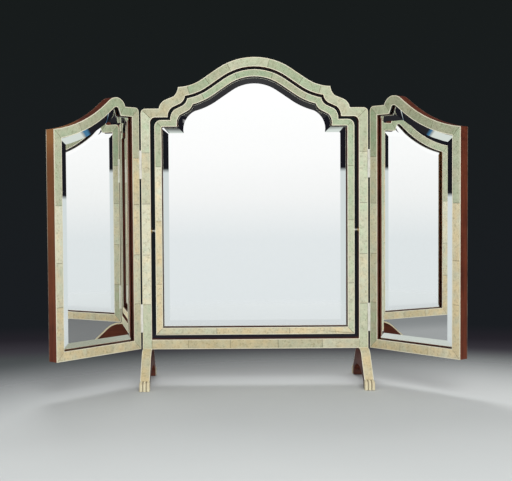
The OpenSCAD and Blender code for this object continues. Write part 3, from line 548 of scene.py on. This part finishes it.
# Back lines are brown all over with grime and painted shade. On the left leaf a painted highlight
# lies near the top, with painted shade below it.
browned_all_over = (up_z, 1.0, [(0.0, 1.0), (1.0, 1.0)])
shade_below_highlight_near_top = (up_z, 2.0, [(0.30, 1.0), (0.66, 0.65), (0.80, 0.4), (0.88, 0.0), (0.92, 1.0)])
bone_line = bone("bone_line", roughness=0.36, **pale_bone)
bone_back = bone("bone_back_line", roughness=0.5, browned=browned_all_over, **pale_bone)
bone_back_left = bone("bone_back_line_left", roughness=0.5, browned=shade_below_highlight_near_top, **pale_bone)
bone_toe = bone("bone_toe", srgb(236, 227, 193), srgb(214, 197, 158), 0.32, grooved=True)
print("bones:", [m.name for m in bpy.data.materials if m.name.startswith("bone")])

# %% [markdown]
# ## Metals and mirror glass
# Metal that is handled dulls unevenly. One group gives the smears; silvered hinges, nickel
# pins and brass screws each take it with their own colours. The mirror is metal too, seen
# through clear glass, so it is almost perfectly smooth and only its old silvering varies.

# %% Metal materials
handled, given, result = new_group(
    "handled_metal",
    [("Vector", "Vector", None), ("Bright", "Color", grey(0.8)), ("Dull", "Color", grey(0.4)),
     ("Low", "Float", 0.15), ("High", "Float", 0.4)],
    [("Color", "Color"), ("Roughness", "Float")])
smear = noise(handled, given["Vector"], 120.0, 5.0, 0.65)
dull = ramped(handled, smear, [(0.42, grey(0.0)), (0.75, grey(1.0))])
spread = maths(handled, "SUBTRACT", given["High"], given["Low"])
give(handled, result,
     Color=mixed(handled, dull, given["Bright"], given["Dull"]),
     Roughness=maths(handled, "MULTIPLY_ADD", dull, spread, given["Low"]))


def metal(name, bright, dull, low, high, metallic=1.0):
    material, tree = new_material(name)
    smears = put(tree, "Group", {"Vector": place_on(tree), "Bright": bright, "Dull": dull,
                                 "Low": low, "High": high}, node_tree=handled).outputs
    surfaced(tree, put(tree, "BsdfPrincipled", {
        "Base Color": smears["Color"], "Metallic": metallic, "Roughness": smears["Roughness"]}))
    return material


silvered = metal("silvered_hinge", srgb(252, 250, 242), srgb(234, 231, 220), 0.3, 0.5,
                 metallic=0.3)
nickel = metal("nickel_pin", srgb(222, 220, 210), srgb(150, 146, 134), 0.2, 0.42)
brass = metal("brass_screw", srgb(214, 176, 104), srgb(140, 104, 52), 0.22, 0.5)
mirror_glass = metal("mirror_glass", (0.970, 0.976, 0.973, 1.0), (0.962, 0.969, 0.965, 1.0),
                     0.0, 0.003)
print("materials:", len(bpy.data.materials))

# %% [markdown]
# ## Picking up a solid
# The frame's solids come as loose triangles, and their shape is never changed. To finish one,
# we copy it, merge its doubled points, join flat triangles into whole faces, and let the copy
# stand for the solid. Smooth shading by angle then rounds the arches and keeps crisp corners.

# %% Copies of solids
same_point = 0.000002
flat_within = math.radians(0.4)
arch_step = 14


def only(piece):
    bpy.ops.object.select_all(action="DESELECT")
    piece.select_set(True)
    bpy.context.view_layer.objects.active = piece


def rounded_below(piece, degrees=arch_step):
    """Shade smooth every edge that turns by less than so many degrees."""
    only(piece)
    bpy.ops.object.shade_smooth_by_angle(angle=math.radians(degrees))


def merged_copy(node, name, material):
    """A copy of a solid with merged points, whole faces and one material."""
    piece = bpy.data.objects.new(name, nodes[node].data.copy())
    bpy.context.scene.collection.objects.link(piece)
    piece.data.materials.clear()
    piece.data.materials.append(material)
    only(piece)
    bpy.ops.object.mode_set(mode="EDIT")
    bpy.ops.mesh.customdata_custom_splitnormals_clear()
    bpy.ops.mesh.select_all(action="SELECT")
    bpy.ops.mesh.remove_doubles(threshold=same_point)
    bpy.ops.mesh.dissolve_limited(angle_limit=flat_within)
    bpy.ops.object.mode_set(mode="OBJECT")
    return piece


def stand_for(piece, body, slot, *replaced):
    """Let a piece ride on a body, in the place of the solids it replaces."""
    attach(piece, body)
    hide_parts(*replaced)
    return piece

# %% [markdown]
# ## Tiles of shagreen
# A real tile is filed soft along its rim, so each one reads as a piece of skin and catches a
# thin line of light. One node holds many tiles, so we first need to know which points belong
# to which tile, and which sides lie against another tile and so take the dark of the glue.

# %% Tiles and their joints
joint_reach = 0.0004
open_rim = 0.2


def parts_of(mesh):
    """The points of each separate part of a mesh."""
    owner = list(range(len(mesh.vertices)))

    def root(i):
        while owner[i] != i:
            owner[i] = owner[owner[i]]
            i = owner[i]
        return i

    for edge in mesh.edges:
        owner[root(edge.vertices[0])] = root(edge.vertices[1])
    groups = {}
    for i in range(len(owner)):
        groups.setdefault(root(i), []).append(i)
    return list(groups.values())


def middle_of(mesh, points):
    return sum((mesh.vertices[i].co for i in points), Vector()) / len(points)


def mark_joints(mesh, inner):
    """Set rim on the outer corners of the rim faces: 1 where two tiles meet, less elsewhere."""
    rim = mesh.attributes.new("rim", "FLOAT", "CORNER").data
    sides = []
    for face in mesh.polygons:
        outer = [i for i in face.vertices if i not in inner]
        if len(outer) == 2 and len(face.vertices) == 4:
            sides.append((face, middle_of(mesh, outer)))
    near = KDTree(len(sides))
    for k, (_, middle) in enumerate(sides):
        near.insert(middle, k)
    near.balance()
    for k, (face, middle) in enumerate(sides):
        joint = any(other != k for _, other, _ in near.find_range(middle, joint_reach))
        for corner in face.loop_indices:
            outside = mesh.loops[corner].vertex_index not in inner
            rim[corner].value = (1.0 if joint else open_rim) if outside else 0.0

# %% [markdown]
# No two skins took the dye alike. The crest stayed greenest, the bottom rails went tan, and
# the palest creams are halfway up the stiles. So each tile gets a word: how deep it is, and
# towards which colour. The depth is partly dye and partly painted shade: the right leaf's tiles
# are painted darker, as less light falls on it, the crest's tiles deeper against the stronger
# light at the top, and the tile on the back of the right foot is painted dark for the shadow
# under the leaf. A node's tiles are counted from the bottom upwards, and from left to right
# where they lie level.

# %% Dyes
hues = {"green": 0.20, "sage": 0.45, "cream": 0.68, "tan": 0.90}
# A depth holds the dye's depth and painted shade; smoky, used only on the right leaf, is painted
# shade.
depths_with_shade = {"pale": 0.97, "light": 0.74, "soft": 0.61, "even": 0.46, "deep": 0.32,
          "dark": 0.18, "smoky": 0.03}


def dye_tiles(mesh, words):
    tone = mesh.attributes.new("tone", "FLOAT", "POINT").data
    shade = mesh.attributes.new("shade", "FLOAT", "POINT").data
    tiles = parts_of(mesh)
    middles = [middle_of(mesh, tile) for tile in tiles]

    def upwards_then_right(k):
        return tuple(round(middles[k][axis], 4) for axis in (2, 0, 1))

    for k, word in zip(sorted(range(len(tiles)), key=upwards_then_right), words):
        depth, hue = word.split("_")
        for i in tiles[k]:
            tone[i].value, shade[i].value = hues[hue], depths_with_shade[depth]
    return len(tiles)

# %% [markdown]
# To file a tile, we select the faces that look outwards, inset them a little and lift the
# inner part by a tenth of a millimetre. All tiles of a node are filed in one go.

# %% Filed tiles
rim_width, rim_lift = 0.0006, 0.0001
same_way = 0.99


def filed_tiles(node, body, looks_out, dyes):
    """The tiles of a node, filed on the faces that look out and dyed by their words."""
    piece = merged_copy(node, node + "_tiles", shagreen)
    bpy.ops.object.mode_set(mode="EDIT")
    bpy.ops.mesh.select_mode(type="FACE")
    bpy.ops.mesh.select_all(action="DESELECT")
    bpy.ops.object.mode_set(mode="OBJECT")
    for face in piece.data.polygons:
        face.select = looks_out(face.normal)
    bpy.ops.object.mode_set(mode="EDIT")
    bpy.ops.mesh.inset(thickness=rim_width, depth=rim_lift, use_even_offset=True)
    bpy.ops.object.mode_set(mode="OBJECT")
    mesh = piece.data
    mark_joints(mesh, {v for face in mesh.polygons if face.select for v in face.vertices})
    tiles = dye_tiles(mesh, dyes.split())
    rounded_below(piece)
    stand_for(piece, body, "shagreen", node)
    print(node, "tiles:", tiles, "words:", len(dyes.split()), "faces:", len(mesh.polygons))


def facing(x, y):
    return lambda normal: normal.x * x + normal.y * y > same_way


side, ahead = math.sin(wing_turn), -math.cos(wing_turn)
filed_tiles("frame_shagreen", "stand", facing(0, -1), """
    even_tan deep_tan deep_tan deep_cream soft_cream soft_sage soft_sage
    pale_cream light_cream pale_cream light_sage soft_cream light_sage light_sage
    even_sage deep_cream even_sage dark_green deep_green dark_sage dark_green even_sage""")
filed_tiles("swing_shagreen", "swing_mirror", facing(0, -1), """
    soft_cream light_tan soft_tan light_tan light_sage light_tan soft_sage pale_cream
    even_green deep_sage even_green deep_sage deep_green deep_green dark_sage dark_green""")
filed_tiles("left_wing_shagreen", "left_wing", facing(side, ahead), """
    soft_tan even_tan soft_tan even_cream soft_tan light_cream light_cream pale_cream
    light_tan soft_tan even_sage even_sage deep_sage dark_sage dark_green dark_green""")
# The right leaf's tiles take deeper words: painted shade, besides their dye.
filed_tiles("right_wing_shagreen", "right_wing", facing(-side, ahead), """
    even_tan even_tan light_tan dark_sage soft_tan even_cream light_tan light_tan
    soft_cream deep_cream even_sage dark_sage smoky_green smoky_sage deep_sage smoky_sage""")
# The last foot tile, on the back of the right foot, is deep_tan: a painted shadow from the leaf
# above.
filed_tiles("foot_shagreen", "stand", lambda normal: normal.z > 0.5,
            "even_tan even_tan soft_tan deep_tan")

# %% [markdown]
# ## Wood and bone lines
# These solids already have their true shape. They are copied only so that their arches can be
# shaded smoothly, and each gets the wood whose grain runs along it. A bone line runs round the
# front edge of a frame and another round its back edge. They are one node, so the faces of the
# back half take a second material. The crest rails' faces that look down at the glass get a
# near-black painted shade, for the shade under the crest.

# %% Finishing a solid
behind = {"stand": Vector((0, 1, 0)), "swing_mirror": Vector((0, 1, 0)),
          "left_wing": Vector((-side, -ahead, 0)), "right_wing": Vector((side, -ahead, 0))}
looking_down = -0.2


def finish_solid(node, body, material, slot, round_below=arch_step):
    piece = merged_copy(node, node + "_finished", material)
    rounded_below(piece, round_below)
    return stand_for(piece, body, slot, node)


def finish_outer_lines(node, body, back_material):
    """Bone in front, and another bone for the faces that lie in the back half."""
    mesh = finish_solid(node, body, bone_line, "bone").data
    mesh.materials.append(back_material)
    depths_in = [v.co.dot(behind[body]) for v in mesh.vertices]
    middle = (min(depths_in) + max(depths_in)) / 2
    for face in mesh.polygons:
        face.material_index = int(min(depths_in[i] for i in face.vertices) > middle)
    print(node, "faces at the back:", sum(f.material_index for f in mesh.polygons))


def finish_core(node, body, material):
    mesh = finish_solid(node, body, material, "mahogany").data
    # Painted shade: a crest rail's faces that look down at the glass are marked to be painted
    # near-black.
    if "crest_rail" in node and body != "stand":
        underside_shade = mesh.attributes.new("underside_shade", "FLOAT", "FACE").data
        for face in mesh.polygons:
            underside_shade[face.index].value = float(face.normal.z < looking_down)

# %% Stand and centre mirror
for prefix, body in (("frame", "stand"), ("swing", "swing_mirror")):
    finish_core(prefix + "_left_stile", body, mahogany_upright)
    finish_core(prefix + "_right_stile", body, mahogany_upright)
    finish_core(prefix + "_bottom_rail", body, mahogany_across)
    finish_core(prefix + "_crest_rail", body, mahogany_across)
    finish_outer_lines(prefix + "_outer_stringing", body, bone_back)
    finish_solid(prefix + "_inner_stringing", body, bone_line, "bone")
for node in ("left_foot", "right_foot"):
    finish_solid(node, "stand", mahogany_foot, "mahogany")
finish_solid("foot_stringing", "stand", bone_line, "bone")
finish_solid("swing_backboard", "swing_mirror", back_board, "back_wood")

# %% Outer leaves
for leaf, across, outer, line in (("left_wing", mahogany_left, mahogany_orange_top, bone_back_left),
                                  ("right_wing", mahogany_right, mahogany_upright, bone_back)):
    finish_core(leaf + "_hinge_stile", leaf, mahogany_upright)
    finish_core(leaf + "_outer_stile", leaf, outer)
    finish_core(leaf + "_bottom_rail", leaf, across)
    finish_core(leaf + "_crest_rail", leaf, across)
    finish_outer_lines(leaf + "_outer_stringing", leaf, line)
    finish_solid(leaf + "_inner_stringing", leaf, bone_line, "bone")
    finish_solid(leaf + "_backboard", leaf, back_board, "back_wood")

# %% [markdown]
# ## The glasses
# The bevel runs round the arch as one smooth ramp, but it meets the flat of the glass at a
# crisp line. The two differ by nine degrees only, so here a low angle is kept sharp. The centre
# glass also has short straight shoulders that turn by two degrees, and these stay flat. A
# mirror shows the slightest facet, and that is why the glass too is a merged, smoothed copy.

# %% Glasses
finish_solid("swing_glass", "swing_mirror", mirror_glass, "mirror_glass", round_below=1.2)
for leaf in ("left_wing", "right_wing"):
    finish_solid(leaf + "_glass", leaf, mirror_glass, "mirror_glass", round_below=5.5)

# %% [markdown]
# ## Solids that stay as they are
# Hinge leaves, pins, bushes, glazing blocks and the screws that hardly show are plain in life
# too. They keep their CAD mesh and only take a material.

# %% Carried solids
carried = {
    silvered: ("frame_hinge_leaves", "left_wing_hinge_leaves", "right_wing_hinge_leaves",
               "hinge_pins", "frame_hinge_screws", "left_wing_hinge_screws",
               "right_wing_hinge_screws"),
    nickel: ("pivot_pins",),
    brass: ("pivot_bushes", "foot_screws"),
    glazing_wood: ("swing_glazing_blocks", "left_wing_glazing_blocks",
                   "right_wing_glazing_blocks")}
for material, painted in carried.items():
    for node in painted:
        nodes[node].data.materials.clear()
        nodes[node].data.materials.append(material)
    print(material.name, "on", len(painted), "nodes")

# %% [markdown]
# ## The toes
# Each foot ends in a small bone toe, carved into three rounded reeds like the front of a paw.
# One reed starts as a cube at its place. Its top front edge is bevelled into the curve of a
# fingertip, and then its side edges, all the way round that curve, are bevelled into a round.

# %% Reeds
toe_width, toe_length, toe_height = 0.018, 0.014, 0.0162
fingertip, reed_round = 0.009, 0.0025
hair = 0.00001


def bevelled(piece, offset, segments, chosen):
    """Bevel the edges whose two ends are chosen."""
    only(piece)
    bpy.ops.object.mode_set(mode="EDIT")
    bpy.ops.mesh.select_mode(type="EDGE")
    bpy.ops.mesh.select_all(action="DESELECT")
    bpy.ops.object.mode_set(mode="OBJECT")
    for edge in piece.data.edges:
        edge.select = chosen(*(piece.data.vertices[i].co for i in edge.vertices))
    bpy.ops.object.mode_set(mode="EDIT")
    bpy.ops.mesh.bevel(offset=offset, segments=segments, affect="EDGES")
    bpy.ops.object.mode_set(mode="OBJECT")


def reed(x, y_front):
    """One reed of a toe, with its middle at x and its tip at y_front."""
    def top_front(a, b):
        return max(a.y, b.y) < y_front + hair and min(a.z, b.z) > toe_height - hair

    def side_edge(a, b):
        along_side = abs(a.x - b.x) < hair / 10
        return along_side and max(a.z, b.z) > hair and min(a.y, b.y) < y_front + toe_length - hair

    bpy.ops.object.select_all(action="DESELECT")
    bpy.ops.mesh.primitive_cube_add(
        size=1, location=(x, y_front + toe_length / 2, toe_height / 2),
        scale=(toe_width / 3, toe_length, toe_height))
    piece = bpy.context.object
    bpy.ops.object.transform_apply(location=True, rotation=True, scale=True)
    bevelled(piece, fingertip, 8, top_front)
    bevelled(piece, reed_round, 4, side_edge)
    return piece

# %% [markdown]
# Three reeds side by side make a toe. Dirt and painted shade gather between them, so an
# attribute says how near a point lies to the joint of two reeds. The toe is then copied to the
# other three places.

# %% Four toes
def mark_grooves(mesh, middle):
    """Set groove to 1 between two reeds, falling to 0 on their crowns."""
    groove = mesh.attributes.new("groove", "FLOAT", "POINT").data
    for i, point in enumerate(mesh.vertices):
        from_joint = abs(abs(point.co.x - middle) - toe_width / 6)
        groove[i].value = max(0.0, 1 - from_joint / (toe_width / 6)) ** 3


def joined(pieces, name):
    """The pieces as one object, with its mesh named as it is."""
    bpy.ops.object.select_all(action="DESELECT")
    for piece in pieces:
        piece.select_set(True)
    bpy.context.view_layer.objects.active = pieces[0]
    if len(pieces) > 1:
        bpy.ops.object.join()
    whole = bpy.context.object
    whole.name = name
    whole.data.name = name
    return whole


def own_copy(piece, move):
    """A copy with its own mesh, moved in its points."""
    twin = bpy.data.objects.new(piece.name, piece.data.copy())
    bpy.context.scene.collection.objects.link(twin)
    twin.data.transform(move)
    return twin


toe_low, toe_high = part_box("foot_toes")
foot_low, foot_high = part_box("left_foot")
left_x = (foot_low.x + foot_high.x) / 2
middle_y = (toe_low.y + toe_high.y) / 2
first_toe = joined([reed(left_x + i * toe_width / 3, toe_low.y) for i in (-1, 0, 1)], "toe")
mark_grooves(first_toe.data, left_x)
across_way = Matrix.Translation((-2 * left_x, 0, 0))
round_way = (Matrix.Translation((left_x, middle_y, 0)) @ Matrix.Rotation(math.pi, 4, "Z")
             @ Matrix.Translation((-left_x, -middle_y, 0)))
toes = [first_toe, own_copy(first_toe, across_way), own_copy(first_toe, round_way)]
toes.append(own_copy(toes[2], across_way))
carved_toes = joined(toes, "carved_toes")
carved_toes.data.materials.append(bone_toe)
rounded_below(carved_toes, degrees=40)
stand_for(carved_toes, "stand", "bone", "foot_toes")

# %% [markdown]
# ## Slotted screws
# The back boards are held by small round-headed brass screws. A head is a short cylinder
# whose top rim is bevelled into a dome, and a thin bar cuts its slot. No two slots stand at
# the same angle. The head is modelled once for each leaf and copied to each place, which we
# read from the CAD solids themselves.

# %% Screw head
def screw_head(radius, height):
    """A domed head with a slot across its top, standing at the origin."""
    dome, slot_width, slot_depth = height * 0.8, radius * 0.24, height * 0.45
    bpy.ops.object.select_all(action="DESELECT")
    bpy.ops.mesh.primitive_cylinder_add(vertices=20, radius=radius, depth=height,
                                        location=(0, 0, height / 2))
    head = bpy.context.object
    bpy.ops.object.transform_apply(location=True)
    bevelled(head, dome, 3, lambda a, b: min(a.z, b.z) > height - hair)
    bpy.ops.object.select_all(action="DESELECT")
    bpy.ops.mesh.primitive_cube_add(size=1, location=(0, 0, height),
                                    scale=(radius * 3, slot_width, slot_depth * 2))
    bar = bpy.context.object
    only(head)
    slot = head.modifiers.new("slot", "BOOLEAN")
    slot.object = bar
    slot.operation = "DIFFERENCE"
    bpy.ops.object.modifier_apply(modifier="slot")
    bpy.data.objects.remove(bar)
    return head


def screw_places(node, out):
    """Centre and radius of the outer end of each screw of a CAD node."""
    end_depth = 0.0001
    welded = merged_copy(node, "measured", brass)
    places = []
    for group in parts_of(welded.data):
        points = [welded.data.vertices[i].co for i in group]
        top = max(p.dot(out) for p in points)
        ring = [p for p in points if p.dot(out) > top - end_depth]
        centre = sum(ring, Vector()) / len(ring)
        places.append((centre, max((p - centre).length for p in ring)))
    bpy.data.objects.remove(welded)
    return places

# %% Screws on their leaves
head_height = 0.0008


def slotted(node, body, seed):
    """A slotted head in the place of each screw of a node."""
    out = behind[body]
    places = screw_places(node, out)
    chance = random.Random(seed)
    head = screw_head(places[0][1], head_height)
    stand_up = Vector((0, 0, 1)).rotation_difference(out).to_matrix().to_4x4()
    heads = []
    for centre, _ in places:
        slot_turn = Matrix.Rotation(chance.uniform(0, math.pi), 4, "Z")
        seat = Matrix.Translation(centre - out * head_height)
        heads.append(own_copy(head, seat @ stand_up @ slot_turn))
    bpy.data.objects.remove(head)
    whole = joined(heads, node + "_slotted")
    whole.data.materials.append(brass)
    rounded_below(whole, degrees=30)
    stand_for(whole, body, "brass", node)
    print(node, "heads:", len(places))


slotted("swing_back_screws", "swing_mirror", 1)
slotted("left_wing_back_screws", "left_wing", 2)
slotted("right_wing_back_screws", "right_wing", 3)
